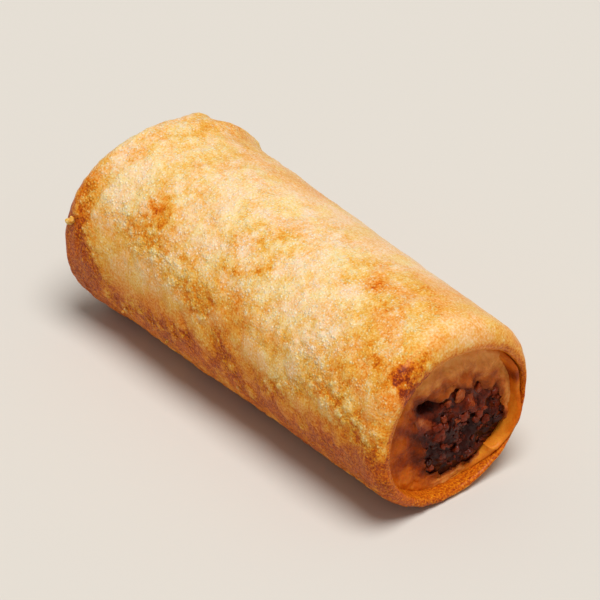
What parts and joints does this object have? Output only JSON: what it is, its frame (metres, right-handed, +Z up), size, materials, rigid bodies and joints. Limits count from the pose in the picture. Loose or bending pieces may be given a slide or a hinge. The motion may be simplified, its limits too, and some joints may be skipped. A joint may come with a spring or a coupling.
{
  "type": "fried spring roll",
  "caption": "Short, plump fried spring roll: a blistered golden pastry wrapper rolled round a browned meat filling that shows at both folded-in ends.",
  "frame": {"origin": "on the flat spot that the roll rests on, under the middle of the bounding box", "axes": "+X along the roll towards the end whose filling shows best, +Z up"},
  "size_m": [0.0894, 0.0414, 0.0382],
  "materials": {
    "wrapper": "fried pastry, pale gold to brown, blistered, lightly oily",
    "filling": "browned minced meat, moist"
  },
  "bodies": {
    "root": {"wrapper": "wrapper", "filling": "filling"}
  },
  "joints": []
}
